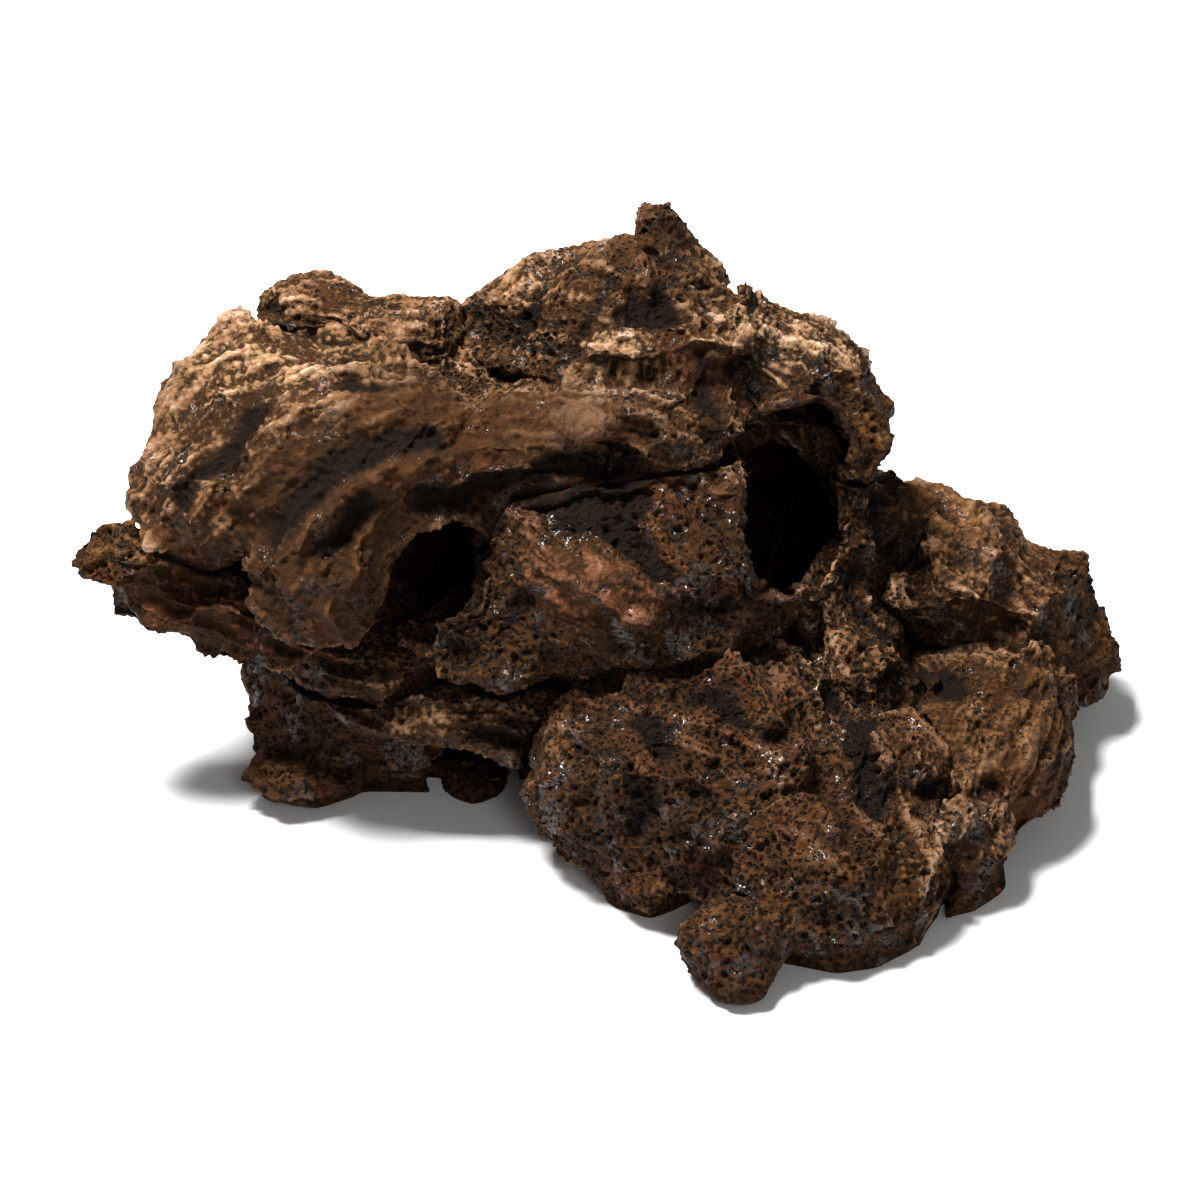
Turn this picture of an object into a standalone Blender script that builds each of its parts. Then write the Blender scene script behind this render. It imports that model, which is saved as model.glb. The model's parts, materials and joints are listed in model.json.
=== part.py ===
"""A hollow resin cave ornament, cast as separate lava-rock pieces that are bonded together.

Every casting is a cluster of rounded stones melted into one lump. Castings higher in the list keep
their full shape, and each later one is cut back from them by the glue line, so that it seats in the
hollow between its neighbours. One chamber runs through all the hollow castings and is closed below
by a floor plate. It has a doorway on the right, a cleft on the left and an arch at the foot.

Frame: metres, +X to the right, -Y to the front with the doorways, +Z up. The origin is the centre
of the footprint, on the surface that the ornament stands on.
"""

from math import sqrt

import bmesh
import bpy
from mathutils import Matrix, Vector, noise

MM = 0.001

WALL = 6.5 * MM  # thickness of the cast shell
GLUE_LINE = 0.35 * MM  # gap between two bonded castings
FLOOR_THICKNESS = 5.0 * MM
FLOOR_CLEARANCE = 1.0 * MM  # between the floor plate's edge and the shells around it

FORM_VOXEL = 2.4 * MM  # how finely a cluster of stones is melted together
FORM_FACET = 75 * MM * MM  # area of one triangle of a melted form
FEWEST_FACETS = 160  # for a form so small that larger triangles would lose its shape
SMALLEST_STONE = 2 * MM  # what is left of a stone that is thinner than the wall
LUMP_DEPTH = 0.10  # how far a stone's skin wanders, as a share of its radius
LUMPS_ACROSS = 1.3  # how many lumps a stone shows across its radius
SEED_STEP = 7.3  # keeps the lumps of two stones apart
BLOCK = 400 * MM  # a cutting block wider than the ornament

OCHRE = (0.205, 0.125, 0.072)
UMBER = (0.120, 0.068, 0.040)
RUST = (0.135, 0.072, 0.046)
BLACK = (0.012, 0.010, 0.008)


class Casting:
    """One cast piece. Its stones are (x, y, z, radius_x, radius_y, radius_z) in mm."""

    def __init__(self, name, colour, hollow, stones):
        self.name = name
        self.colour = colour
        self.hollow = hollow
        self.stones = stones


CASTINGS = [
    Casting("horn", OCHRE, False, [
        (15, 50, 138, 7, 7, 7),
        (17, 50, 129, 9, 10, 10),
        (21, 47, 121, 13, 11, 10),
    ]),
    Casting("crest_knob", OCHRE, False, [
        (-72, 51, 112, 16, 12, 9),
        (-50, 40, 112, 14, 12, 9),
    ]),
    Casting("left_boulder", OCHRE, True, [
        (-60, 23, 88, 46, 38, 30),
        (-76, 33, 98, 34, 26, 20),
        (-93, 28, 97, 18, 22, 17),
        (-99, 13, 83, 18, 24, 21),
        (-68, -11, 74, 20, 14, 20),
        (-16, 15, 97, 30, 20, 13),
    ]),
    Casting("strata_shelf", OCHRE, False, [
        (-119, 3, 69, 14, 13, 8),
        (-104, 5, 57, 20, 17, 9),
        (-82, 3, 49, 22, 17, 10),
        (-60, -2, 40, 22, 15, 10),
    ]),
    Casting("peak_boulder", OCHRE, True, [
        (4, 43, 110, 30, 26, 24),
        (-18, 45, 106, 15, 18, 19),
        (8, 17, 100, 32, 20, 14),
        (24, 35, 110, 20, 18, 18),
    ]),
    Casting("roof_boulder", UMBER, True, [
        (48, 35, 101, 22, 22, 18),
        (63, 29, 92, 12, 18, 16),
        (36, 35, 112, 16, 16, 14),
        (68, 24, 94, 8, 10, 9),
    ]),
    Casting("right_column", OCHRE, False, [
        (63, 23, 60, 13, 16, 24),
        (58, 9, 50, 12, 12, 14),
        (73, 31, 58, 12, 14, 17),
        (66, -2, 34, 16, 18, 20),
    ]),
    Casting("right_boulder", UMBER, True, [
        (86, 33, 46, 25, 26, 20),
        (108, 33, 31, 21, 24, 19),
        (123, 31, 18, 13, 15, 13),
        (122, 47, 30, 6, 6, 7),
        (76, 11, 48, 12, 8, 6),
    ]),
    Casting("front_toe", UMBER, False, [
        (32, -79, 10, 13, 14, 12),
        (34, -87, 6, 10, 8, 7),
    ]),
    Casting("front_apron", RUST, True, [
        (22, -27, 24, 42, 34, 30),
        (56, -50, 12, 34, 32, 24),
        (12, -42, 12, 17, 19, 17),
        (46, -14, 30, 20, 22, 22),
        (70, -32, 20, 20, 24, 24),
    ]),
    Casting("right_skirt", UMBER, True, [
        (95, -7, 20, 28, 34, 22),
        (104, 9, 18, 20, 26, 22),
        (85, -36, 12, 22, 24, 20),
    ]),
    Casting("under_ledge", UMBER, False, [
        (-36, -9, 32, 32, 16, 8),
        (-14, -16, 28, 18, 12, 8),
    ]),
    Casting("centre_body", RUST, True, [
        (8, 9, 66, 46, 36, 34),
        (36, 3, 70, 14, 18, 24),
        (-25, -3, 56, 26, 22, 18),
    ]),
    Casting("left_leg", UMBER, True, [
        (-67, 16, 24, 25, 26, 40),
        (-75, -7, 8, 17, 8, 9),
        (-40, 6, 28, 38, 20, 14),
        (-44, 13, 8, 36, 20, 22),
    ]),
    Casting("back_left", UMBER, True, [
        (-50, 50, 30, 48, 34, 74),
        (-78, 50, 30, 20, 27, 38),
        (-40, 66, 20, 32, 22, 32),
        (-60, 60, 70, 24, 20, 26),
    ]),
    Casting("back_right", UMBER, True, [
        (15, 54, 34, 48, 36, 78),
        (32, 72, 28, 34, 22, 40),
        (0, 68, 74, 26, 20, 26),
        (50, 53, 20, 36, 30, 54),
        (92, 42, 18, 30, 28, 28),
    ]),
]

# Rooms of the chamber that no casting is shaped round.
ROOMS = [
    (22, 14, 8, 42, 34, 40),
    (78, 4, 2, 40, 26, 20),
    (58, -8, 4, 30, 26, 22),
    (64, 24, 8, 34, 30, 34),
    (-10, 30, 32, 34, 30, 52),
]

# The ways into the chamber, as stones: the doorway, the cleft and the arch.
DOORS = [
    (47, 0, 82, 13, 20, 17),
    (48, 14, 92, 13, 20, 13),
    (46, 20, 68, 14, 24, 18),
    (46, 42, 55, 14, 22, 17),
    (-40, -4, 74, 11, 18, 15),
    (-46, -6, 62, 11, 16, 10),
    (-44, 14, 62, 14, 20, 14),
    (-32, -2, 5, 12, 22, 13),
]
SILL = (-32, 2, 0, 9, 11, 12)  # the floor plate reaches out into the arch


def new_object(name, mesh):
    made = bpy.data.objects.new(name, mesh)
    bpy.context.scene.collection.objects.link(made)
    return made


def mesh_object(name, form):
    """An object from a bmesh, which is freed."""
    mesh = bpy.data.meshes.new(name)
    form.to_mesh(mesh)
    form.free()
    return new_object(name, mesh)


def hidden(made):
    """Marks an object as a cutter, which isn't part of the ornament."""
    made.hide_render = True
    made.display_type = "WIRE"
    return made


def apply_modifiers(made):
    """Replaces an object's mesh with the one that its modifiers make."""
    graph = bpy.context.evaluated_depsgraph_get()
    mesh = bpy.data.meshes.new_from_object(made.evaluated_get(graph))
    made.modifiers.clear()
    made.data = mesh


def combine(made, other, operation):
    """A Boolean of one object with another, applied."""
    step = made.modifiers.new(operation.lower(), "BOOLEAN")
    step.operation = operation
    step.solver = "EXACT"
    step.object = other
    apply_modifiers(made)


def add_stone(form, stone, shrink, seed):
    """Adds one lumpy ellipsoid to a bmesh."""
    radii = [max(radius * MM - shrink, SMALLEST_STONE) for radius in stone[3:]]
    place = Matrix.Translation(Vector(stone[:3]) * MM) @ Matrix.Diagonal((*radii, 1))
    for vertex in bmesh.ops.create_icosphere(form, subdivisions=4, radius=1)["verts"]:
        wander = noise.noise(vertex.co * LUMPS_ACROSS + Vector((seed, 0, 0)))
        vertex.co = place @ (vertex.co * (1 + LUMP_DEPTH * wander))


def melted(name, stones, shrink=0.0):
    """One closed lump from stones that overlap."""
    form = bmesh.new()
    for number, stone in enumerate(stones):
        add_stone(form, stone, shrink, SEED_STEP * number + len(stones))
    made = mesh_object(name, form)
    melt = made.modifiers.new("melt", "REMESH")
    melt.mode = "VOXEL"
    melt.voxel_size = FORM_VOXEL
    apply_modifiers(made)
    ease = made.modifiers.new("ease", "SMOOTH")
    ease.iterations = 2
    thin = made.modifiers.new("thin", "DECIMATE")
    thin.ratio = facets_wanted(made) / facets(made)
    thin.use_collapse_triangulate = True
    apply_modifiers(made)
    return made


def facets(made):
    made.data.calc_loop_triangles()
    return len(made.data.loop_triangles)


def facets_wanted(made):
    """How many triangles a form of this surface area gets."""
    area = sum(polygon.area for polygon in made.data.polygons)
    return max(area / FORM_FACET, FEWEST_FACETS)


def grown(source, distance):
    """A cutter like an object, with its skin this much further out."""
    made = new_object(source.name + "_cutter", source.data.copy())
    grow = made.modifiers.new("grow", "DISPLACE")
    grow.strength = distance
    grow.mid_level = 0
    apply_modifiers(made)
    return hidden(made)


def block(name, low, high):
    """A square cutter between two heights, wider than the ornament."""
    form = bmesh.new()
    size = Matrix.Diagonal((BLOCK, BLOCK, high - low, 1))
    bmesh.ops.create_cube(form, size=1, matrix=Matrix.Translation((0, 0, (low + high) / 2)) @ size)
    return hidden(mesh_object(name, form))


def near(first, second):
    """Whether the boxes round two objects meet."""
    boxes = []
    for made in (first, second):
        corners = [Vector(corner) for corner in made.bound_box]
        boxes.append([(min(c[k] for c in corners), max(c[k] for c in corners)) for k in range(3)])
    return all(a[0] < b[1] and b[0] < a[1] for a, b in zip(*boxes))


def keep_largest_body(made):
    """Drops the crumbs that cutting leaves loose."""
    form = bmesh.new()
    form.from_mesh(made.data)
    bmesh.ops.triangulate(form, faces=form.faces)
    bodies = []
    unseen = set(form.verts)
    while unseen:
        body = [unseen.pop()]
        for vertex in body:
            found = {edge.other_vert(vertex) for edge in vertex.link_edges} & unseen
            unseen -= found
            body.extend(found)
        bodies.append(body)
    bodies.sort(key=len, reverse=True)
    crumbs = [vertex for body in bodies[1:] for vertex in body]
    bmesh.ops.delete(form, geom=crumbs, context="VERTS")
    form.to_mesh(made.data)
    form.free()


def paint(made, colour):
    material = bpy.data.materials.new(made.name + "_resin")
    material.use_nodes = True
    shader = material.node_tree.nodes["Principled BSDF"]
    shader.inputs["Base Color"].default_value = (*colour, 1)
    shader.inputs["Roughness"].default_value = 0.55
    made.data.materials.clear()
    made.data.materials.append(material)


def chamber_stones():
    """The rooms and the stones of the hollow castings, each with its footprint on the ground."""
    stones = ROOMS + [stone for casting in CASTINGS if casting.hollow for stone in casting.stones]
    footprints = []
    for x, y, z, radius_x, radius_y, radius_z in stones:
        if z < radius_z:
            share = sqrt(1 - (z / radius_z) ** 2)
            footprints.append((x, y, 0, radius_x * share, radius_y * share, z + WALL / MM))
    return stones + footprints


def cut_casting(casting, form, cutters, chamber, doors, ground):
    """Cuts the neighbours, the chamber, the doors and the ground from a casting."""
    for cutter in cutters:
        if near(form, cutter):
            combine(form, cutter, "DIFFERENCE")
    if casting.hollow:
        combine(form, chamber, "DIFFERENCE")
    combine(form, doors, "DIFFERENCE")
    combine(form, ground, "DIFFERENCE")
    keep_largest_body(form)
    paint(form, casting.colour)


def cave_floor(chamber, cutters):
    """The plate that closes the chamber underneath."""
    floor = grown(chamber, -FLOOR_CLEARANCE)
    floor.name = "cave_floor"
    floor.hide_render = False
    floor.display_type = "TEXTURED"
    combine(floor, hidden(melted("sill", [SILL])), "UNION")
    combine(floor, block("floor_slab", 0, FLOOR_THICKNESS), "INTERSECT")
    for casting, cutter in zip(CASTINGS, cutters):
        if near(floor, cutter) and not casting.hollow:
            combine(floor, cutter, "DIFFERENCE")
    keep_largest_body(floor)
    paint(floor, BLACK)


def centre_on_origin():
    """Moves everything so that the middle of the footprint is at the origin."""
    made = list(bpy.context.scene.objects)
    points = [vertex.co for one in made if not one.hide_render for vertex in one.data.vertices]
    middle = [(min(p[k] for p in points) + max(p[k] for p in points)) / 2 for k in (0, 1)]
    for one in made:
        one.data.transform(Matrix.Translation((-middle[0], -middle[1], 0)))


def build():
    for old in list(bpy.data.objects):
        bpy.data.objects.remove(old)
    ground = block("ground", -BLOCK, 0)
    chamber = hidden(melted("chamber", chamber_stones(), shrink=WALL))
    doors = hidden(melted("doors", DOORS))
    forms = [melted(casting.name, casting.stones) for casting in CASTINGS]
    cutters = [grown(form, GLUE_LINE) for form in forms]
    for number, (casting, form) in enumerate(zip(CASTINGS, forms)):
        cut_casting(casting, form, cutters[:number], chamber, doors, ground)
    cave_floor(chamber, cutters)
    centre_on_origin()


build()
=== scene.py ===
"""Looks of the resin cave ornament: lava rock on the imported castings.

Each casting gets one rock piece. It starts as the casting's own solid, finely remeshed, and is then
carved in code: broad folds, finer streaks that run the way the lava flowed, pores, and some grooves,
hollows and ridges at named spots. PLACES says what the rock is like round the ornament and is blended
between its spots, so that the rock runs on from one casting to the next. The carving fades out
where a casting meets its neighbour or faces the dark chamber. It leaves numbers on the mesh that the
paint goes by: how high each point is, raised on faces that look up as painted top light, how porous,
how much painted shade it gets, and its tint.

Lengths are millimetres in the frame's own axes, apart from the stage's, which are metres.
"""

import json
import math

import bpy
import numpy as np
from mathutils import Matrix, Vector
from mathutils.bvhtree import BVHTree

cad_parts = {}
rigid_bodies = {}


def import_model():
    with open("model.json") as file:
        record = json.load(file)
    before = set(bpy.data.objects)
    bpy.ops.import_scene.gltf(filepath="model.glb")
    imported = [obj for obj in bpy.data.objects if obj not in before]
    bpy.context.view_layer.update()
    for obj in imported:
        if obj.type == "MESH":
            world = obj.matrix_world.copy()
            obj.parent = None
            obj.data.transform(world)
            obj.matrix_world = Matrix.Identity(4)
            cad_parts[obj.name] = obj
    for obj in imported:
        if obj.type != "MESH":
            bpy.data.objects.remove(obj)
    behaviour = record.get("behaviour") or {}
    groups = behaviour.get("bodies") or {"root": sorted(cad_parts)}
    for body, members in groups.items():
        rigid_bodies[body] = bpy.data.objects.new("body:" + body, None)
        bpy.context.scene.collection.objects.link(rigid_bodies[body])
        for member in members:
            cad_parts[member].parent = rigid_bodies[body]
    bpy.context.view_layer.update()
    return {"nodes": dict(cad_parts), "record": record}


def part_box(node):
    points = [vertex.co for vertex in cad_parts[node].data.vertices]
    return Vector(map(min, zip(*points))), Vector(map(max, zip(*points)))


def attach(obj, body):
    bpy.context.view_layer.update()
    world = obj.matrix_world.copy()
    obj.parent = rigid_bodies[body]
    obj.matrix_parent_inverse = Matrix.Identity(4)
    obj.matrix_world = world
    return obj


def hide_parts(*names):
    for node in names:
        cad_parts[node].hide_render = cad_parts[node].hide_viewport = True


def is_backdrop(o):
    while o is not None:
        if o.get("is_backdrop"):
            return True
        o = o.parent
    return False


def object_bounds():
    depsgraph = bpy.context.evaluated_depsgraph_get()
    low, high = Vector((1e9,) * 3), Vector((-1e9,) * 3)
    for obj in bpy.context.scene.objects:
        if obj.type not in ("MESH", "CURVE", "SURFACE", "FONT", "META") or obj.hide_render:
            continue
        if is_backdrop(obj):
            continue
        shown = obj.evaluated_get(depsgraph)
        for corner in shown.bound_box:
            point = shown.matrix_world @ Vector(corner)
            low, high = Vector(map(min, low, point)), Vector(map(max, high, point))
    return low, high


MM = 0.001

# How finely the rock is carved.
VOXEL = 0.62
SMOOTHING_STEPS = 6
RELAXING_STEPS = 8  # between the creases and the crags
RELAXING_SHARE = 0.5  # of the way to the neighbours' mean, in each step
MOST_TRIANGLES = 190000  # in one piece
UNSEEN_SHARE = 0.1  # share of the triangles that is kept where there is no sky

# How far folds, creases, strata and strokes may go together. Finer relief comes on top.
DEEPEST = 6.5
HIGHEST = 8.0
SKIN = 3.0  # how far the chamber's skin moves in, so that grooves don't break through
FLOOR_TOP = 5.0  # the chamber's skin stays where it is below this
BULKY = 42.0  # a casting thinner than this is carved less
BULK_POWER = 1.5  # how fast that goes
NEAR_GROUND = (0.5, 4.0)  # heights between which the carving of an underside sets in
FACING_DOWN = (0.4, 0.9)  # how far down a face looks, from a side to an underside

# How high each kind of relief is.
FOLD_HEIGHT = 7.0
CREASE_HEIGHT = 4.0
FINE_CREASE_HEIGHT = 1.8
CRAG_HEIGHT = 1.3
GRAIN_HEIGHT = 0.7
GRAIN_SIZE = 1.6

# Layers of strata.
LAYER_HEIGHT = 3.5
LAYER_SPACING = 4.5
LAYER_TILT = 0.2
LAYER_WAVE = 3.0
LAYER_WAVE_SIZE = 18

# Pores: size of the cell that one pore sits in, depth and seed.
PORES = ((3.6, 1.7, 200), (2.1, 1.1, 230))

# Shares of open sky. Nothing is seen below UNSEEN, and each pair goes from no effect to all of it.
UNSEEN = 0.008
SKY_TO_RAISE = (0.02, 0.18)
SKY_TO_CUT = (0.03, 0.14)
SKY_TO_STROKE = (UNSEEN, 0.04)
SKY_TO_LIGHTEN = (0, 0.1)
AIR_TO_MOVE = (0.4, 0.9)  # share of free air, for the chamber's skin

# Strokes deeper than these are shaded, from not at all to fully, and crags break the shade up.
GROOVE_TO_SHADE = (2.0, 4.5)
GROOVE_SHADE = 0.95
CRAGS_IN_SHADE = 2.5

# The grid that the open sky is worked out on.
SKY_STEP = 3.0
SKY_MARGIN = 15.0
SKY_REACH = 3.5  # how far off the surface the sky is looked up
# In grid steps: level, slanting and straight up, and then four that are steeper.
SKY_DIRECTIONS = [
    (x, y, z) for z in (0, 1) for x in (-1, 0, 1) for y in (-1, 0, 1) if (x, y, z) != (0, 0, 0)
] + [(1, 0, 2), (-1, 0, 2), (0, 1, 2), (0, -1, 2)]
STEP_PAST = 0.01  # how far past one wall the next is looked for

RANDOM = np.random.default_rng(11)
SHUFFLED = RANDOM.permutation(256)
SLOPES = RANDOM.normal(size=(256, 3)).astype(np.float32)
SLOPES /= np.linalg.norm(SLOPES, axis=1, keepdims=True)
SEEDS = RANDOM.random((256, 3)).astype(np.float32)
NOISE_GAIN = 1.6  # brings noise to about -1 to 1
STREAK_SAMPLES = 5
STREAK_GAIN = 1.4  # makes up for what the mean of the samples flattens

# Tints of the dry-brushed high spots and of faces that look up, which get them as painted top light, in
# linear light.
TAN = (0.72, 0.475, 0.325)
SAND = (0.44, 0.262, 0.162)
PINK = (0.28, 0.130, 0.078)
OCHRE = (0.290, 0.155, 0.075)
GOLD = (0.165, 0.078, 0.024)
BROWN = (0.135, 0.063, 0.024)
UMBER = (0.095, 0.045, 0.018)
RUST = (0.120, 0.055, 0.025)
# A dark tint for the recess wall at the leg, painted shade.
RECESS_SHADE = (0.055, 0.028, 0.014)

# Colours that go over or under the tints: a dark wash in the hollows that also stands as painted shade,
# stains, painted shade in the small pores, and painted shadow in deep grooves and the chamber.
WASH_AND_SHADE = (0.034, 0.015, 0.005)
STAIN = (0.105, 0.036, 0.013)
PAINTED_PORE_SHADE = (0.006, 0.004, 0.003)
SHADOW = (0.008, 0.004, 0.002)

# Slot: name of its paint, what the flanks keep of the tint (a darker base tone, partly painted shade),
# gloss.
PAINTS = {
    "lava_ochre": ("ochre_rock", (0.50, 0.42, 0.30), 0.4),
    "lava_umber": ("umber_rock", (0.52, 0.45, 0.34), 0.6),
    "lava_rust": ("rust_rock", (0.54, 0.45, 0.34), 1.0),
    "cave_black": ("black_rock", (0.2, 0.2, 0.2), 0.3),
}

# Finish of the paint: dull, with a clear coat in patches that look wet.
ROUGHNESS = 0.7
SPECULAR = 0.08
COAT = 0.6
COAT_ROUGHNESS = 0.14
PAINT_RELIEF = 1.1
COAT_RELIEF = 0.9

# Where the Mix node keeps its share, its two colours and their mixture.
MIX_INPUTS = (0, 6, 7)
MIX_OUTPUT = 2

# The stage, in metres.
FLOOR_SIZE = 6
PAPER = (0.9, 0.9, 0.9)
PAPER_ROUGHNESS = 0.9
WORLD_STRENGTH = 0.18
LIGHTS = {  # place, size and power
    "key": ((-0.35, 0.05, 1.2), 0.35, 44),
    "front": ((0.3, -1.3, 1.0), 0.4, 4),
}
LENS = 200  # in millimetres
CAMERA_TILT = math.radians(35)
CAMERA_DISTANCE = 1.667
CAMERA_TARGET = Vector((-0.0013, 0, 0.0577))
CAMERA_REACH = 20

# Spot: where, which way the streaks run, tint, share of pores, share of strata.
PLACES = {
    "left top": ((-80, 25, 115), (-1.0, -0.3, 0.1), TAN, 0.0, 0.0),
    "left crest": ((-60, 42, 118), (-1.0, 0.0, 0.2), SAND, 0.4, 0.0),
    "left side": ((-108, 0, 92), (-0.5, -0.3, -0.8), SAND, 0.2, 0.0),
    "left front": ((-80, -12, 98), (-0.8, -0.3, -0.5), UMBER, 0.1, 0.0),
    "left shoulder": ((-45, 5, 108), (-0.9, -0.3, -0.3), UMBER, 0.2, 0.0),
    "left flap": ((-62, -20, 78), (-0.4, -0.3, -0.9), BROWN, 0.3, 0.0),
    "saddle": ((-28, 32, 112), (1.0, 0.0, 0.0), SAND, 0.9, 0.0),
    "arm": ((-15, 6, 108), (1.0, -0.1, -0.1), UMBER, 0.2, 0.0),
    "arm end": ((5, 2, 107), (1.0, -0.1, -0.1), RUST, 0.4, 0.0),
    "peak knob": ((-22, 44, 125), (1.0, 0.0, 0.3), SAND, 0.3, 0.0),
    "peak": ((5, 35, 130), (0.5, -0.6, -0.6), RUST, 0.5, 0.0),
    "brow": ((8, 17, 118), (1.0, 0.0, 0.15), TAN, 0.3, 0.0),
    "roof top": ((50, 32, 120), (0.8, -0.2, -0.5), TAN, 0.3, 0.0),
    "roof side": ((67, 20, 103), (0.3, -0.5, -0.8), GOLD, 0.5, 0.0),
    "centre top": ((10, -12, 90), (0.4, -0.6, -0.6), BROWN, 0.5, 0.0),
    "centre front": ((-5, -24, 76), (0.9, -0.1, -0.4), PINK, 0.2, 0.0),
    "centre band": ((-25, -20, 60), (1.0, -0.1, 0.2), BROWN, 1.0, 0.3),
    "centre right": ((35, -15, 78), (0.4, -0.3, -0.8), RUST, 0.7, 0.0),
    "column": ((64, 3, 58), (0.1, -0.3, -1.0), SAND, 0.8, 0.0),
    "boulder top": ((92, 30, 64), (0.7, -0.3, -0.5), OCHRE, 0.3, 0.0),
    "boulder front": ((100, 12, 45), (0.9, -0.2, -0.3), SAND, 0.3, 0.0),
    "boulder end": ((128, 30, 25), (0.3, -0.1, -0.9), BROWN, 0.5, 0.0),
    "skirt top": ((100, -10, 38), (-0.5, -0.7, -0.4), GOLD, 0.4, 0.3),
    "skirt foot": ((98, -50, 18), (-0.3, -0.6, -0.7), SAND, 0.4, 0.2),
    "apron top": ((20, -35, 52), (1.0, -0.3, 0.0), RUST, 0.9, 0.0),
    "apron front": ((10, -56, 35), (0.5, -0.6, -0.6), UMBER, 1.0, 0.0),
    "apron right": ((55, -55, 36), (0.6, -0.6, -0.5), RUST, 0.7, 0.0),
    "apron foot": ((30, -70, 12), (0.8, -0.5, -0.2), BROWN, 0.8, 0.0),
    "toe": ((30, -88, 10), (1.0, -0.3, 0.0), RUST, 0.6, 0.0),
    "shelf": ((-100, -10, 60), (-1.0, 0.0, 0.3), PINK, 0.3, 1.0),
    "shelf tip": ((-125, 0, 68), (-1.0, 0.0, 0.3), GOLD, 0.6, 0.8),
    "ledge": ((-45, -20, 35), (1.0, 0.0, 0.0), SAND, 0.4, 1.0),
    # The recess wall at the leg gets the dark tint as painted shade.
    "leg": ((-80, -5, 25), (1.0, 0.0, 0.0), RECESS_SHADE, 0.9, 0.5),
    "leg foot": ((-80, -14, 10), (1.0, 0.0, 0.1), BROWN, 0.5, 0.4),
    "back left": ((-60, 85, 40), (0.2, 0.3, -0.9), BROWN, 0.5, 0.0),
    "back left top": ((-40, 70, 95), (-0.8, 0.3, -0.3), TAN, 0.4, 0.0),
    "back right": ((30, 92, 45), (-0.1, 0.3, -0.9), RUST, 0.6, 0.0),
    "back right top": ((20, 70, 105), (0.6, 0.5, -0.6), TAN, 0.4, 0.0),
    "far right": ((110, 60, 25), (0.5, 0.3, -0.8), BROWN, 0.5, 0.0),
}
PLACE_REACH = 9.0  # how far one spot holds before the next one blends in

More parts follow.
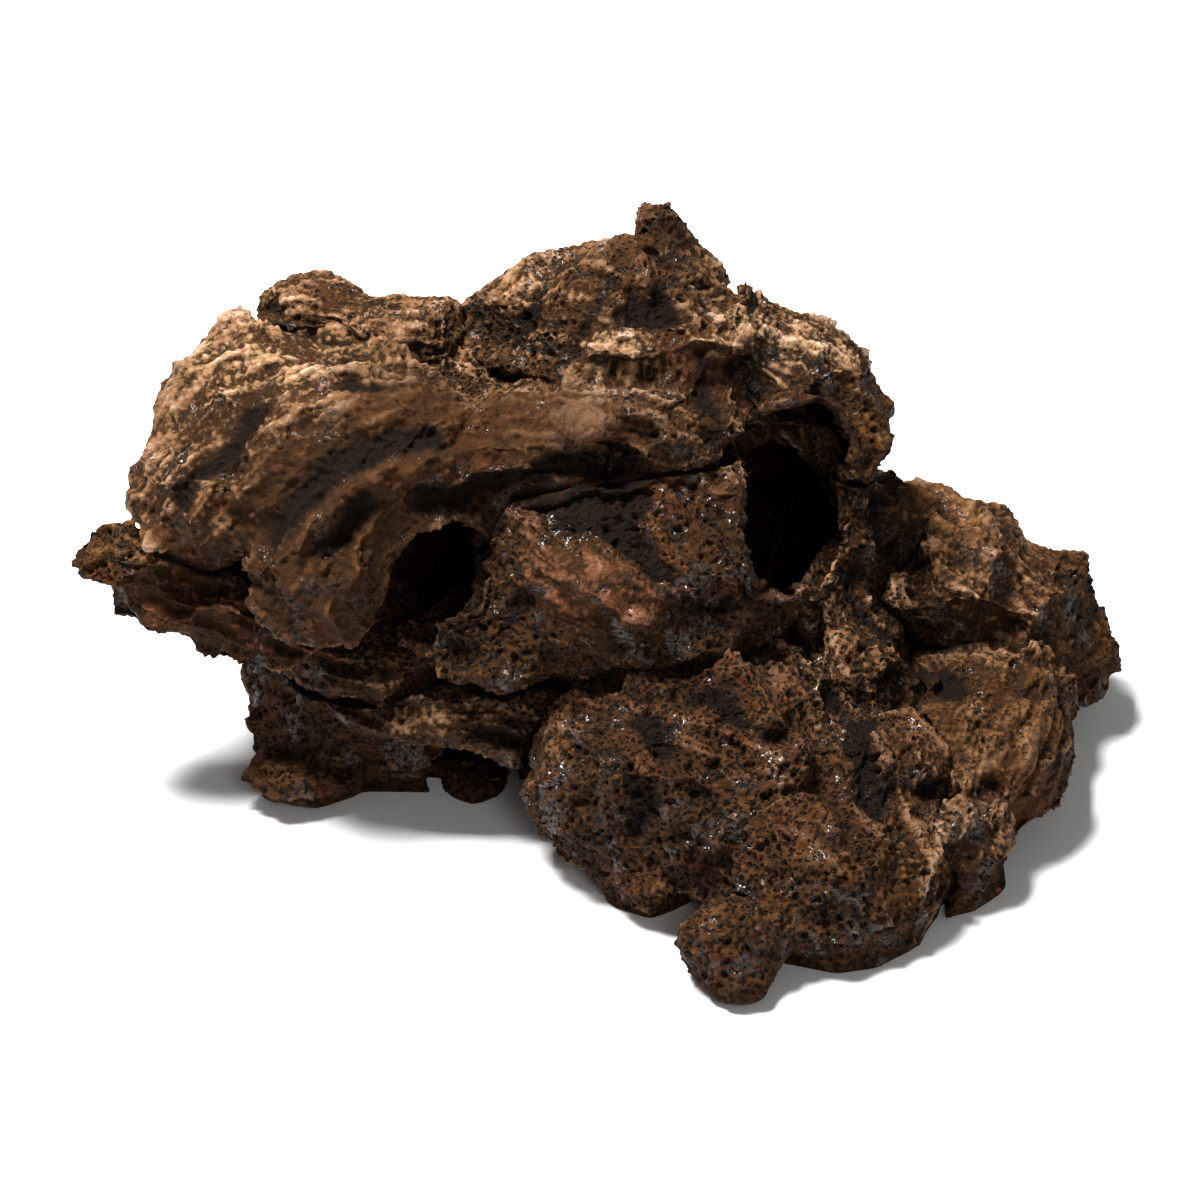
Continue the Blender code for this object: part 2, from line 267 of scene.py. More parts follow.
# Stroke: points it runs through, half-width, height (less than nothing for a groove).
STROKES = {
    "upper left groove": (((-86, 11, 112), (-91, 6, 106), (-97, 0, 100), (-105, -7, 93)), 5, -6),
    "left rib": (((-75, 0, 109), (-85, -3, 102), (-91, -6, 92)), 5, 3),
    "long left groove": (
        ((-42, -2, 108), (-50, -5, 109), (-63, -6, 107), (-71, -9, 100), (-77, -12, 94), (-84, -14, 85)),
        5,
        -7,
    ),
    "short left arc": (((-54, -2, 111), (-50, 0, 111), (-46, -2, 110)), 3, -4),
    "thin left groove": (((-73, 4, 113), (-77, -2, 106)), 3, -4),
    "left tongue": (((-41, -5, 104), (-53, -11, 101), (-65, -14, 95), (-75, -20, 87)), 5, 4),
    "tongue hole": (((-52, -11, 101),), 3, -5),
    "left gash": (((-59, -13, 97), (-64, -16, 90), (-71, -20, 88)), 4, -7),
    "flap edge": (((-84, -17, 83), (-75, -24, 75), (-68, -24, 68), (-63, -19, 61)), 5, 4),
    "left knob": (((-58, 17, 118),), 7, 3),
    "groove under the left knob": (((-64, 12, 117), (-57, 11, 117), (-51, 16, 116)), 3, -5),
    "second left knob": (((-56, 31, 118), (-51, 28, 116)), 6, 3),
    "notch between the left knobs": (((-67, 24, 118), (-60, 25, 118)), 3, -4),
    "groove under the crest": (((-88, 50, 114), (-76, 36, 117), (-65, 34, 117)), 4, -4),
    "left pits": (((-84, 19, 115), (-87, 17, 114)), 2.5, -3),
    "shade under the arm": (
        ((-44, -11, 95), (-38, -9, 92), (-26, -2, 92), (-16, -5, 94), (-7, -3, 102), (1, -1, 103)),
        5,
        -7,
    ),
    "arm": (((-28, 13, 109), (-14, 9, 109), (1, 1, 106)), 9, 4),
    "arm lobe": (((-7, 4, 108), (1, 2, 108)), 6, 3),
    "saddle": (((-34, 39, 111), (-26, 35, 115), (-19, 27, 117)), 8, -3),
    "saddle fill": (((-33, 36, 109), (-24, 30, 110), (-15, 24, 110)), 6, 4),
    "saddle nodule": (((-20, 29, 116),), 5, 4),
    "smooth hollow": (((-6, -10, 94), (3, -8, 95)), 11, -9),
    "peak knob": (((-33, 48, 115), (-28, 52, 119), (-20, 52, 125)), 12, 6),
    "rock in the notch": (((-44, 44, 108), (-36, 44, 106)), 12, 10),
    "peak hollow": (((7, 27, 128), (11, 26, 127), (16, 30, 128)), 6, -8),
    "peak crease": (((4, 40, 133), (-3, 29, 128), (-9, 24, 120), (-12, 18, 112)), 4, -4),
    "second peak crease": (((-15, 47, 129), (-20, 36, 124), (-24, 28, 117)), 4, -4),
    "peak wedge": (((21, 31, 127), (25, 26, 124)), 6, 3),
    "horn root": (((5, 46, 134), (11, 41, 132), (18, 39, 131), (24, 41, 129)), 8, 4),
    "brow": (((-11, 16, 113), (-1, 20, 119), (9, 19, 119), (23, 20, 121), (37, 22, 119)), 5, 5),
    "ledge under the brow": (((-26, 13, 109), (-11, 11, 111), (-1, 12, 112), (15, 9, 110)), 4, 3),
    "pink lobe": (((-1, 6, 111), (6, 3, 110), (13, 1, 108)), 7, 3),
    "lobe hole": (((4, 1, 107), (11, 0, 108)), 4, -6),
    "roof groove": (((23, 20, 119), (28, 13, 109), (31, 5, 102)), 5, -5),
    "doorway shade": (((38, 28, 87), (49, 35, 89)), 10, -3),
    "roof root": (((29, 38, 126), (34, 32, 124), (36, 26, 121)), 6, 4),
    "roof hole": (((33, 20, 113),), 4, -5),
    "roof cleft": (((54, 17, 111), (53, 15, 104)), 4, -5),
    "centre bulge": (((-16, -19, 80), (-4, -24, 77), (9, -25, 72)), 12, 4),
    "hole over the centre": (((-1, -13, 93), (2, -15, 91), (5, -17, 88)), 4, -7),
    "dark centre patch": (((9, -20, 85), (11, -21, 82)), 6, -5),
    "centre crease": (((11, -24, 75), (23, -24, 68), (38, -17, 70)), 5, -4),
    "centre nick": (((0, -26, 70), (2, -25, 72), (4, -24, 75)), 3, -5),
    "centre crack": (((-26, -23, 62), (-21, -19, 71)), 3, -4),
    "centre band": (((-56, -16, 42), (-38, -23, 50), (-5, -29, 52), (18, -29, 55), (40, -22, 57)), 7, 6),
    "line under the band": (((-41, -20, 57), (-33, -24, 56), (-29, -21, 45), (-24, -13, 39)), 3, -4),
    "upper band lip": (((6, -26, 52), (14, -23, 53), (23, -24, 59), (33, -20, 60)), 4, 4),
    "fissure": (((60, -22, 45), (61, -35, 44), (63, -46, 38), (67, -58, 28)), 5, -8),
    "skirt crack": (((60, -48, 37), (72, -49, 35), (84, -44, 30), (97, -38, 28)), 3, -4),
    "skirt furrow": (((93, -29, 37), (98, -18, 40), (112, -8, 36)), 4, -3),
    "apron hole": (((21, -30, 53), (28, -32, 54), (32, -38, 51)), 5, -7),
    "second apron hole": (((9, -39, 51), (12, -46, 49)), 6, -7),
    "apron pits": (((5, -54, 39), (9, -57, 34), (6, -57, 27)), 4, -6),
    "apron arc": (((-1, -49, 41), (2, -50, 43), (4, -53, 40)), 3, -4),
    "apron pit": (((43, -42, 46),), 3.5, -5),
    "apron ridge": (((31, -24, 55), (38, -34, 51), (48, -44, 42), (55, -63, 33)), 6, 6),
    "apron shoulder": (((46, -16, 52), (53, -23, 47)), 8, 3),
    "foot rope": (((21, -58, 6), (40, -76, 18), (60, -82, 11)), 4, 3),
    "toe root": (((20, -82, 16), (28, -80, 20), (36, -78, 19), (45, -80, 12)), 9, 5),
    "ledge notch": (((-31, -24, 33), (-24, -25, 33)), 5, -6),
    "shade by the column": (((72, 23, 75), (70, 14, 73), (72, 13, 64), (75, 16, 59)), 5, -6),
    "shade under the boulder": (((64, 5, 60), (71, 0, 52), (82, 2, 38), (86, -9, 40)), 6, -6),
    "shade round the skirt": (((62, -35, 43), (66, -25, 43), (75, -13, 43), (84, -4, 39)), 4, -5),
    "boulder edge": (((82, 35, 66), (87, 15, 59), (94, 9, 51)), 6, 3),
    "boulder hole": (((104, 12, 40),), 4, -5),
    "boulder nose": (((74, 11, 54),), 6, 4),
    "boulder knob": (((96, 30, 64),), 7, 3),
    "boulder spike": (((121, 38, 41), (124, 42, 44)), 5, 5),
    "shelf line": (((-118, -8, 67), (-101, -10, 59), (-81, -13, 51), (-64, -13, 46)), 3, -3),
    "shelf top": (((-113, -5, 75), (-100, -12, 70), (-85, -17, 64), (-70, -19, 58)), 5, 4),
    "left sliver": (((-113, 9, 99),), 2.5, 6),
    "shelf root": (((-116, 4, 85), (-110, -4, 79)), 7, 5),
    "shelf sliver": (((-122, 4, 78),), 2.5, 6),
    "back seam": (((-17, 79, 8), (-17, 82, 40), (-17, 84, 70), (-14, 81, 90)), 9, 6),
    "back groove": (((35, 80, 75), (28, 87, 58), (20, 91, 40)), 8, -3),
    "second back groove": (((-60, 79, 70), (-52, 83, 50), (-45, 87, 30)), 8, -3),
    "back rib": (((60, 58, 70), (52, 85, 45), (50, 88, 15)), 9, 6),
    "second back rib": (((-80, 70, 80), (-80, 74, 50), (-72, 80, 15)), 9, 6),
}


def link(thing):
    bpy.context.scene.collection.objects.link(thing)
    return thing


# ---------------------------------------------------------------- noise


def cell_number(cells, seed):
    """A fixed random number from 0 to 255 for each whole-numbered cell."""
    x, y, z = ((cells[:, k] & 255) for k in range(3))
    return SHUFFLED[(SHUFFLED[(SHUFFLED[(x + seed) & 255] + y) & 255] + z) & 255]


def noise(points, seed=0):
    """Smooth noise from about -1 to 1, with about one bump to the unit."""
    cells = np.floor(points).astype(np.int32)
    inside = (points - cells).astype(np.float32)
    fade = inside**3 * (inside * (inside * 6 - 15) + 10)
    total = np.zeros(len(points), np.float32)
    for corner in np.ndindex(2, 2, 2):
        slope = SLOPES[cell_number(cells + np.array(corner, np.int32), seed)]
        height = ((inside - np.array(corner, np.float32)) * slope).sum(1)
        total += height * np.where(corner, fade, 1 - fade).prod(1)
    return total * NOISE_GAIN


def fractal(points, octaves, seed=0):
    """Noise with finer and fainter noise added."""
    return sum(noise(points * 2**k, seed + 17 * k) / 2**k for k in range(octaves))


def streaks(points, flow, size, reach, seed):
    """Noise of this size, drawn out along the flow."""
    steps = np.linspace(-reach, reach, STREAK_SAMPLES)
    return STREAK_GAIN * sum(noise((points + step * flow) / size, seed) for step in steps) / len(steps)


def lobes(value):
    """Turns smooth noise into round lobes with sharp creases between, from about -0.5 to 0.5."""
    return 1.3 * np.sqrt(value**2 + 0.003) - 0.45


def nearest_seed(points, seed=0):
    """Distance to the nearest of scattered seeds, one to each unit cell, and that seed's number."""
    corner = np.floor(points).astype(np.int32)
    nearest = np.full(len(points), np.inf, np.float32)
    number = np.zeros(len(points), np.float32)
    for step in np.ndindex(3, 3, 3):
        cell = corner + np.array(step, np.int32) - 1
        found = cell_number(cell, seed)
        distance = np.linalg.norm(cell + SEEDS[found] - points, axis=1).astype(np.float32)
        number = np.where(distance < nearest, found / 255, number)
        nearest = np.minimum(nearest, distance)
    return nearest, number


def swirled(points, size, depth, seed):
    """Points pushed about by broad noise, so that straight features bend."""
    push = [noise(points / size, seed + k) for k in range(3)]
    return points + depth * np.stack(push, axis=1)


def ramp(value, low, high):
    """0 below low, 1 above high and smooth between."""
    share = np.clip((value - low) / (high - low), 0, 1)
    return share * share * (3 - 2 * share)


# ---------------------------------------------------------------- open sky


def crossings(tree, x, y, z):
    """The heights where a line straight up goes into and out of a solid."""
    heights = []
    hit = tree.ray_cast(Vector((x, y, z)), Vector((0, 0, 1)))[0]
    while hit is not None:
        heights.append(hit.z)
        hit = tree.ray_cast(hit + Vector((0, 0, STEP_PAST)), Vector((0, 0, 1)))[0]
    return zip(heights[::2], heights[1::2])


def solid_grid(nodes, low, shape):
    """Which cells of a grid are inside a CAD solid."""
    solid = np.zeros(shape, bool)
    for node in nodes:
        tree = BVHTree.FromPolygons(
            [vertex.co / MM for vertex in node.data.vertices],
            [tuple(face.vertices) for face in node.data.polygons],
        )
        near, far = (np.array(corner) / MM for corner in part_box(node.name))
        first = np.maximum(((near - low) / SKY_STEP).astype(int), 0)
        last = ((far - low) / SKY_STEP).astype(int) + 2
        for i in range(first[0], last[0]):
            for j in range(first[1], last[1]):
                x, y = low[:2] + (np.array((i, j)) + 0.5) * SKY_STEP
                for enter, leave in crossings(tree, x, y, low[2]):
                    a, b = (int(round((z - low[2]) / SKY_STEP)) for z in (enter, leave))
                    solid[i, j, a:b] = True
    return solid


def shifted(layer, steps):
    """A 2-D layer read some whole cells away, with open air outside it."""
    out = np.ones_like(layer)
    to = tuple(slice(max(0, -s), layer.shape[k] - max(0, s)) for k, s in enumerate(steps))
    source = tuple(slice(max(0, s), layer.shape[k] - max(0, -s)) for k, s in enumerate(steps))
    out[to] = layer[source]
    return out


def open_along(free, direction):
    """Which cells see out of the grid along a direction."""
    axis = int(np.argmax(np.abs(direction)))
    sign = int(np.sign(direction[axis]))
    others = [direction[k] for k in range(3) if k != axis]
    strides = abs(direction[axis])
    layers = np.moveaxis(free, axis, 0)
    seen = np.ones_like(layers)
    order = range(len(layers))
    for k in order[::-1] if sign > 0 else order:
        ahead = k + sign * strides
        if 0 <= ahead < len(layers):
            seen[k] = shifted(layers[ahead] & seen[ahead], others)
            if strides == 2:
                seen[k] &= layers[k + sign]
    return np.moveaxis(seen, 0, axis)


def soften(field):
    """Each cell's mean with its neighbours."""
    for axis in range(3):
        field = (np.roll(field, 1, axis) + 2 * field + np.roll(field, -1, axis)) / 4
    return field


class Sky:
    """How much open sky each place round the castings has, from 0 to 1."""

    def __init__(self, nodes):
        low, high = (np.array(corner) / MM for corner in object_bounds())
        self.low = low - SKY_MARGIN
        shape = ((high - low + 2 * SKY_MARGIN) / SKY_STEP).astype(int) + 1
        free = ~solid_grid(nodes, self.low, shape)
        seen = sum(open_along(free, direction).astype(float) for direction in SKY_DIRECTIONS)
        self.sky = soften(np.where(free, seen / len(SKY_DIRECTIONS), 0.0))
        self.air = free.astype(float)

    def at(self, points, field):
        """One of the fields at these points, in mm, blended between cells."""
        place = (points - self.low) / SKY_STEP - 0.5
        cell = np.clip(np.floor(place).astype(int), 0, np.array(field.shape) - 2)
        part = np.clip(place - cell, 0, 1)
        total = np.zeros(len(points))
        for corner in np.ndindex(2, 2, 2):
            weight = np.where(corner, part, 1 - part).prod(1)
            total += weight * field[tuple((cell + corner).T)]
        return total


# ---------------------------------------------------------------- carving


def read_points(mesh):
    """A mesh's points in mm, and their normals."""
    points = np.empty(len(mesh.vertices) * 3, np.float32)
    normals = points.copy()
    mesh.vertices.foreach_get("co", points)
    mesh.vertex_normals.foreach_get("vector", normals)
    return points.reshape(-1, 3) / MM, normals.reshape(-1, 3)


def write_points(mesh, points):
    mesh.vertices.foreach_set("co", (points * MM).astype(np.float32).ravel())
    mesh.update()


def bake_modifiers(piece):
    graph = bpy.context.evaluated_depsgraph_get()
    mesh = bpy.data.meshes.new_from_object(piece.evaluated_get(graph))
    piece.modifiers.clear()
    piece.data = mesh


def fine_copy(node):
    """A new object with the CAD node's shape in small even faces."""
    piece = link(bpy.data.objects.new(node.name + "_rock", node.data.copy()))
    piece.data.materials.clear()
    remesh = piece.modifiers.new("remesh", "REMESH")
    remesh.mode = "VOXEL"
    remesh.voxel_size = VOXEL * MM
    smooth = piece.modifiers.new("smooth", "SMOOTH")
    smooth.iterations = SMOOTHING_STEPS
    bake_modifiers(piece)
    return piece


def blend_places(points, normals):
    """The flow, tint, pores and strata at each point."""
    bent = swirled(points, size=25, depth=8, seed=300)
    rows = list(PLACES.values())
    weights = []
    for row in rows:
        away = ((bent - np.array(row[0], np.float32)) ** 2).sum(1)
        weights.append(1 / (away + PLACE_REACH**2) ** 2)
    weights = np.stack(weights, axis=1)
    weights /= weights.sum(1, keepdims=True)
    flow, tint, pores, strata = (weights @ np.array([row[k] for row in rows]) for k in (1, 2, 3, 4))
    flow -= normals * (flow * normals).sum(1, keepdims=True)
    flow /= np.linalg.norm(flow, axis=1, keepdims=True) + 0.05
    return flow.astype(np.float32), tint, pores, strata


def distance_to_line(points, corners):
    """How far each point is from a line through these corners."""
    corners = [np.array(corner, np.float32) for corner in corners]
    if len(corners) == 1:
        return np.linalg.norm(points - corners[0], axis=1)
    nearest = np.full(len(points), np.inf)
    for start, end in zip(corners, corners[1:]):
        side = end - start
        share = np.clip((points - start) @ side / (side @ side), 0, 1)
        nearest = np.minimum(nearest, np.linalg.norm(points - start - share[:, None] * side, axis=1))
    return nearest


def strokes_at(points):
    """The height that the strokes add at each point. Grooves are V-shaped and ridges are rounded."""
    bent = swirled(points, size=9, depth=2.0, seed=320)
    near, far = bent.min(0), bent.max(0)
    height = np.zeros(len(points))
    for corners, width, rise in STROKES.values():
        if (np.max(corners, 0) + width < near).any() or (np.min(corners, 0) - width > far).any():
            continue
        inside = np.clip(1 - distance_to_line(bent, corners) / width, 0, 1)
        height += rise * (ramp(inside, 0, 1) if rise > 0 else inside**0.8)
    return height


def pores_at(points, share):
    """How deep the pores go at each point. They come in patches and are smaller at a patch's edge."""
    depth = np.zeros(len(points))
    for size, deep, seed in PORES:
        nearest, number = nearest_seed(swirled(points, 2 * size, 0.5 * size, seed) / size, seed)
        patch = 0.5 + 0.6 * fractal(points / 14, 2, seed + 9)
        kept = ramp(patch + share, 0.75, 1.15)
        radius = (0.18 + 0.26 * number) * (0.4 + 0.6 * kept)
        depth += deep * kept * (1 - ramp(nearest, 0.55 * radius, radius))
    return depth


def strata_at(points):
    """Worn edges of thin layers: each sticks out just above its foot and slopes back from there."""
    wave = LAYER_WAVE * noise(points / LAYER_WAVE_SIZE, 340)
    level = (points[:, 2] + LAYER_TILT * points[:, 0] + wave) / LAYER_SPACING
    step = level - np.floor(level)
    return ramp(step, 0.0, 0.25) * (1 - 0.7 * step) - 0.35


def relax(mesh, steps):
    """Moves points towards their neighbours' mean, which wears off thin shards, and returns them."""
    points, _ = read_points(mesh)
    ends = np.empty(len(mesh.edges) * 2, np.int32)
    mesh.edges.foreach_get("vertices", ends)
    here = np.concatenate((ends[0::2], ends[1::2]))
    there = np.concatenate((ends[1::2], ends[0::2]))
    count = np.maximum(np.bincount(here, minlength=len(points)), 1)
    for _ in range(steps):
        for k in range(3):
            mean = np.bincount(here, points[there, k], len(points)) / count
            points[:, k] += RELAXING_SHARE * (mean - points[:, k])
    write_points(mesh, points)
    return points


def carve(piece, sky, bulk):
    """Displaces a fine copy into rock, and stores what the paint needs to know."""
    mesh = piece.data
    start, normals = read_points(mesh)
    outside = start + normals * SKY_REACH
    open_sky = sky.at(outside, sky.sky)
    seen = open_sky > UNSEEN
    chamber = (1 - ramp(open_sky, 0, UNSEEN)) * ramp(sky.at(outside, sky.air), *AIR_TO_MOVE)
    points = start + normals * (SKIN * chamber * (start[:, 2] > FLOOR_TOP))[:, None]
    write_points(mesh, points)

    rest, facing, sky_here = start[seen], normals[seen], open_sky[seen]
    flow, tint, pores, strata = blend_places(rest, facing)
    off_ground = 1 - ramp(-facing[:, 2], *FACING_DOWN) * (1 - ramp(rest[:, 2], *NEAR_GROUND))
    out_room = ramp(sky_here, *SKY_TO_RAISE) * off_ground
    in_room = ramp(sky_here, *SKY_TO_CUT) * off_ground
    named_room = ramp(sky_here, *SKY_TO_STROKE) * off_ground

    def push(height, named=0.0):
        """Moves the seen points out or in, each kind of height as far as it has room."""
        _, facing_now = read_points(mesh)
        way = facing_now[seen] + facing
        way /= np.linalg.norm(way, axis=1, keepdims=True) + 0.01
        moved = np.where(height > 0, height * out_room, height * in_room) + named * named_room
        points[seen] += way * moved[:, None]
        points[:, 2] = np.maximum(points[:, 2], 0)
        write_points(mesh, points)
        return moved

    bent = swirled(rest, size=40, depth=10, seed=40)
    folds = lobes(streaks(bent, flow, size=24, reach=26, seed=60))
    named = strokes_at(rest)
    broad = FOLD_HEIGHT * bulk * folds
    total = push(broad, limited(broad + named) - broad)

    creases = lobes(streaks(bent, flow, size=9, reach=12, seed=80))
    fine_creases = lobes(streaks(rest, flow, size=4.5, reach=7, seed=90))
    layers = strata * strata_at(rest)
    creased = limited(total + CREASE_HEIGHT * bulk * creases + LAYER_HEIGHT * layers)
    push(creased - total, FINE_CREASE_HEIGHT * bulk * fine_creases)
    points = relax(mesh, RELAXING_STEPS)

    crags = lobes(streaks(rest, flow, size=2.2, reach=5, seed=100))
    holes = pores_at(rest, pores)
    push(0.0, CRAG_HEIGHT * crags + GRAIN_HEIGHT * noise(rest / GRAIN_SIZE, 110) - holes)

    # The paint goes by this: 0.5 on a plain side, more on lobes and tops, less in creases and pores.
    # Faces that look up get more as painted top light; creases, grooves and pores get less, where the
    # dark wash stands as painted shade.
    height = 0.5 + 0.45 * folds + 0.6 * creases + 0.9 * fine_creases + crags - 0.35 * holes
    height += np.where(named < 0, 0.07, 0.04) * named + 0.35 * ramp(facing[:, 2], 0.0, 0.9)
    # Painted shade: deep grooves and places with little open sky are painted towards the shadow colour.
    grooved = GROOVE_SHADE * ramp(-named - CRAGS_IN_SHADE * crags, *GROOVE_TO_SHADE)
    store(mesh, "height", seen, np.clip(height, 0, 1))
    store(mesh, "pores", seen, pores)
    store(mesh, "sky", seen, sky_here)
    store(mesh, "shade", seen, 1 - ramp(sky_here, *SKY_TO_LIGHTEN) * (1 - grooved))
    store(mesh, "tint", seen, np.column_stack((tint, np.ones(len(tint)))))


def limited(height):
    """Eases heights off towards the deepest and the highest that carving may go."""
    return np.where(height < 0, DEEPEST * np.tanh(height / DEEPEST), HIGHEST * np.tanh(height / HIGHEST))


def store(mesh, name, seen, values):
    """Keeps a number or a colour for each point on the mesh. Unseen points get 0."""
    kind, field = ("FLOAT_COLOR", "color") if values.ndim == 2 else ("FLOAT", "value")
    attribute = mesh.attributes.new(name, kind, "POINT")
    full = np.zeros((len(seen), *values.shape[1:]), np.float32)
    full[seen] = values
    attribute.data.foreach_set(field, full.ravel())


def thin_out(piece):
    """Collapses triangles, first where there is no sky to see them by."""
    mesh = piece.data
    mesh.calc_loop_triangles()
    count = len(mesh.loop_triangles)
    sky = np.empty(len(mesh.vertices), np.float32)
    mesh.attributes["sky"].data.foreach_get("value", sky)
    unseen = sky < UNSEEN
    share = 1 - unseen.mean() * (1 - UNSEEN_SHARE)
    group = piece.vertex_groups.new(name="unseen")
    group.add([int(k) for k in np.flatnonzero(unseen)], 1.0, "REPLACE")
    thin = piece.modifiers.new("thin", "DECIMATE")
    thin.vertex_group = group.name
    thin.ratio = min(share, MOST_TRIANGLES / count)
    bake_modifiers(piece)
    piece.vertex_groups.clear()


# ---------------------------------------------------------------- paint


class Paint:
    """A material's node tree, with short ways to add the nodes that the rock needs."""

    def __init__(self, name):
        self.material = bpy.data.materials.new(name)
        self.material.use_nodes = True
        self.tree = self.material.node_tree
        self.shader = self.tree.nodes["Principled BSDF"]
        self.place = self.make("TexCoord").outputs["Object"]

    def make(self, kind, **settings):
        node = self.tree.nodes.new("ShaderNode" + kind)
        for name, value in settings.items():
            setattr(node, name, value)
        return node

    def give(self, socket, value):
        """Sets a socket from a number or a colour, or links it from another socket."""
        if isinstance(value, bpy.types.NodeSocket):
            self.tree.links.new(value, socket)
        elif isinstance(value, tuple) and len(value) == 3 and socket.type == "RGBA":
            socket.default_value = (*value, 1)
        else:
            socket.default_value = value

    def attribute(self, name, output="Fac"):
        return self.make("Attribute", attribute_name=name).outputs[output]

    def noise(self, size, detail=3, roughness=0.6):
        """Noise with bumps of this size in mm."""
        node = self.make("TexNoise")
        self.give(node.inputs["Vector"], self.place)
        self.give(node.inputs["Scale"], 1 / (size * MM))
        self.give(node.inputs["Detail"], detail)
        self.give(node.inputs["Roughness"], roughness)
        return node.outputs["Fac"]

    def math(self, operation, first, second=0.0):
        node = self.make("Math", operation=operation)
        self.give(node.inputs[0], first)
        self.give(node.inputs[1], second)
        return node.outputs[0]

    def ramp(self, value, low, high, start=0.0, end=1.0):
        """start below low, end above high and smooth between."""
        node = self.make("MapRange", interpolation_type="SMOOTHSTEP")
        given = {"Value": value, "From Min": low, "From Max": high, "To Min": start, "To Max": end}
        for title, number in given.items():
            self.give(node.inputs[title], number)
        return node.outputs["Result"]

    def mix(self, share, first, second, blend="MIX"):
        node = self.make("Mix", data_type="RGBA", blend_type=blend)
        for index, value in zip(MIX_INPUTS, (share, first, second)):
            self.give(node.inputs[index], value)
        return node.outputs[MIX_OUTPUT]

    def bump(self, height, depth):
        """A normal that follows this height, with relief of this depth in mm."""
        node = self.make("Bump")
        self.give(node.inputs["Distance"], depth * MM)
        self.give(node.inputs["Height"], height)
        return node.outputs["Normal"]


def pore_dots(paint, size):
    """1 inside small round pores, one to each patch of this size in mm, and 0 outside."""
    cells = paint.make("TexVoronoi")
    paint.give(cells.inputs["Vector"], paint.place)
    paint.give(cells.inputs["Scale"], 1 / (size * MM))
    return paint.ramp(cells.outputs["Distance"], 0.22, 0.42, 1.0, 0.0)


def brushed_colour_with_painted_light(paint, shade):
    """Dark wash in the hollows, which also stands as painted shade, tint times painted shade on the
    flanks, plain tint on ridges as dry-brush and on top as painted top light, and stains.
    """
    tint = paint.attribute("tint", "Color")
    grit = paint.math("SUBTRACT", paint.noise(1.6, detail=5, roughness=0.75), 0.5)
    grit = paint.math("MULTIPLY", grit, 1.4)
    level = paint.math("ADD", paint.attribute("height"), grit)
    # The flanks: the tint darkened, partly as painted shade.
    flank = paint.mix(1.0, tint, shade, "MULTIPLY")
    # Low points get the dark wash, which also stands as painted shade in creases, grooves and pores.
    washed_and_shaded = paint.mix(paint.ramp(level, 0.0, 0.4), WASH_AND_SHADE, flank)
    # High points get the plain tint: dry-brush on ridges and painted top light on faces that look up.
    brushed = paint.mix(paint.ramp(level, 0.35, 0.85), washed_and_shaded, tint)
    stain = paint.ramp(paint.noise(16, detail=4), 0.5, 0.68, 0.0, 0.35)
    return paint.mix(stain, brushed, STAIN)


def small_holes(paint):
    """1 in the pores that are too small to carve, which come in patches, and 0 elsewhere."""
    specks = paint.ramp(paint.noise(1.5, detail=2), 0.43, 0.36)
    holes = paint.math("MAXIMUM", pore_dots(paint, 1.7), specks)
    patchy = paint.math("ADD", paint.attribute("pores"), paint.math("MULTIPLY", paint.noise(9), 1.6))
    return paint.math("MULTIPLY", holes, paint.ramp(patchy, 0.9, 1.5))


def wet_patches(paint, shade_here, gloss):
    """How thick the clear coat is: patches that stay out of the shade."""
    wet = paint.ramp(paint.noise(9), 0.52, 0.64, 0.0, COAT * gloss)
    return paint.math("MULTIPLY", wet, paint.math("SUBTRACT", 1.0, shade_here))


def rock_paint(name, shade, gloss):
    """Painted rock: brushed and stained colour with painted top light and shade, small holes painted
    near black as painted shade, deep painted shade and wet patches.
    """
    paint = Paint(name)
    shade_here = paint.attribute("shade")
    holes = small_holes(paint)
    # Small pores are painted near black: painted shade inside them.
    pore_shaded = paint.mix(paint.math("MULTIPLY", holes, 0.9), brushed_colour_with_painted_light(paint, shade), PAINTED_PORE_SHADE)
    grain = paint.noise(0.9, detail=5, roughness=0.7)
    relief = paint.math("SUBTRACT", grain, paint.math("MULTIPLY", holes, 1.2))
    finish = {
        "Base Color": paint.mix(shade_here, pore_shaded, SHADOW),
        "Roughness": ROUGHNESS,
        "Specular IOR Level": SPECULAR,
        "Normal": paint.bump(relief, PAINT_RELIEF),
        "Coat Weight": wet_patches(paint, shade_here, gloss),
        "Coat Roughness": COAT_ROUGHNESS,
        "Coat Normal": paint.bump(paint.noise(2.2, detail=2), COAT_RELIEF),
    }
    for title, value in finish.items():
        paint.give(paint.shader.inputs[title], value)
    return paint.material


# ---------------------------------------------------------------- stage


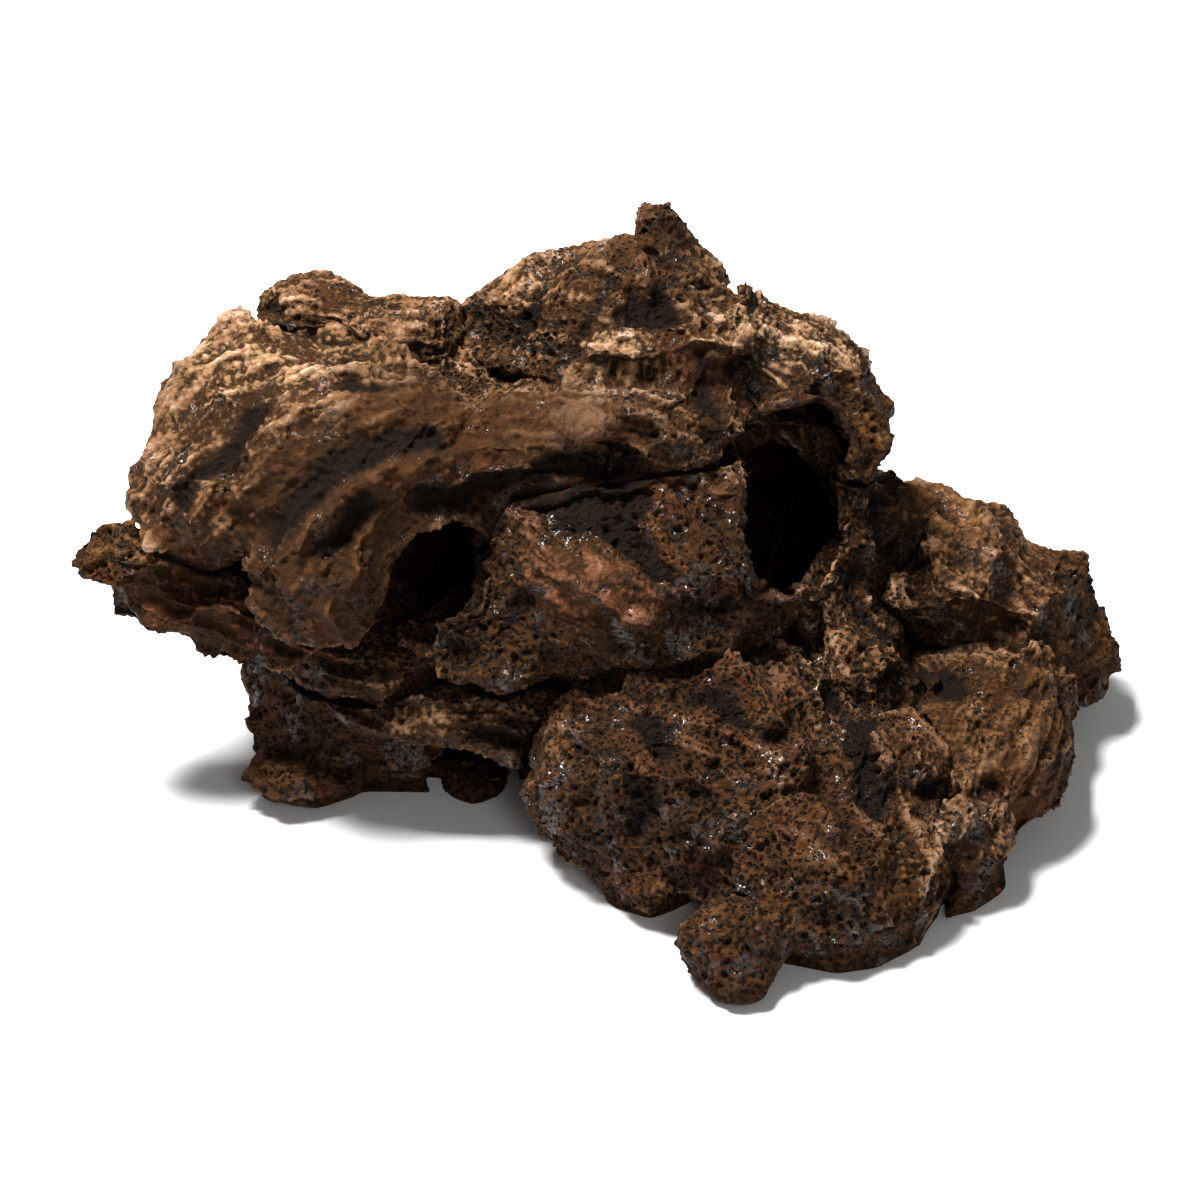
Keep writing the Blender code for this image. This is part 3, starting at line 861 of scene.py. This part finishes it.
def make_floor():
    bpy.ops.mesh.primitive_plane_add(size=FLOOR_SIZE)
    floor = bpy.context.object
    floor.name = "floor"
    paper = bpy.data.materials.new("floor_paper")
    paper.use_nodes = True
    shader = paper.node_tree.nodes["Principled BSDF"]
    shader.inputs["Base Color"].default_value = (*PAPER, 1)
    shader.inputs["Roughness"].default_value = PAPER_ROUGHNESS
    floor.data.materials.append(paper)
    floor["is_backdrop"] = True


def aim(thing, place, target):
    """Puts a light or a camera somewhere, looking at a target."""
    thing.location = place
    thing.rotation_mode = "QUATERNION"
    thing.rotation_quaternion = (Vector(target) - Vector(place)).to_track_quat("-Z", "Y")


def make_lights():
    world = bpy.data.worlds.new("studio")
    world.use_nodes = True
    world.node_tree.nodes["Background"].inputs["Color"].default_value = (1, 1, 1, 1)
    world.node_tree.nodes["Background"].inputs["Strength"].default_value = WORLD_STRENGTH
    bpy.context.scene.world = world
    for name, (place, size, power) in LIGHTS.items():
        light = link(bpy.data.objects.new(name, bpy.data.lights.new(name, "AREA")))
        light.data.size = size
        light.data.energy = power
        aim(light, place, (0, 0, 0))


def make_camera():
    camera = link(bpy.data.objects.new("camera", bpy.data.cameras.new("camera")))
    camera.data.lens = LENS
    camera.data.clip_end = CAMERA_REACH
    back = Vector((0, -math.cos(CAMERA_TILT), math.sin(CAMERA_TILT)))
    aim(camera, CAMERA_TARGET + CAMERA_DISTANCE * back, CAMERA_TARGET)
    bpy.context.scene.camera = camera
    bpy.context.scene.view_settings.view_transform = "Standard"


# ---------------------------------------------------------------- the ornament


def make_rock(name, node, sky, paint):
    """The carved and painted piece that stands for one casting."""
    piece = fine_copy(node)
    near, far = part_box(name)
    thinnest = min(b - a for a, b in zip(near, far)) / MM
    carve(piece, sky, min(1.0, thinnest / BULKY) ** BULK_POWER)
    thin_out(piece)
    piece.data.materials.append(paint)
    piece.data.shade_smooth()
    return piece


def build():
    for old in list(bpy.data.objects):
        bpy.data.objects.remove(old)
    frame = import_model()
    make_floor()
    make_lights()
    make_camera()
    nodes = frame["nodes"]
    slots = {part["node"]: part["material_slot"] for part in frame["record"]["subparts"]}
    sky = Sky(nodes.values())
    paints = {slot: rock_paint(*row) for slot, row in PAINTS.items()}
    for name, node in nodes.items():
        piece = make_rock(name, node, sky, paints[slots[name]])
        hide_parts(name)
        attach(piece, "root")


build()
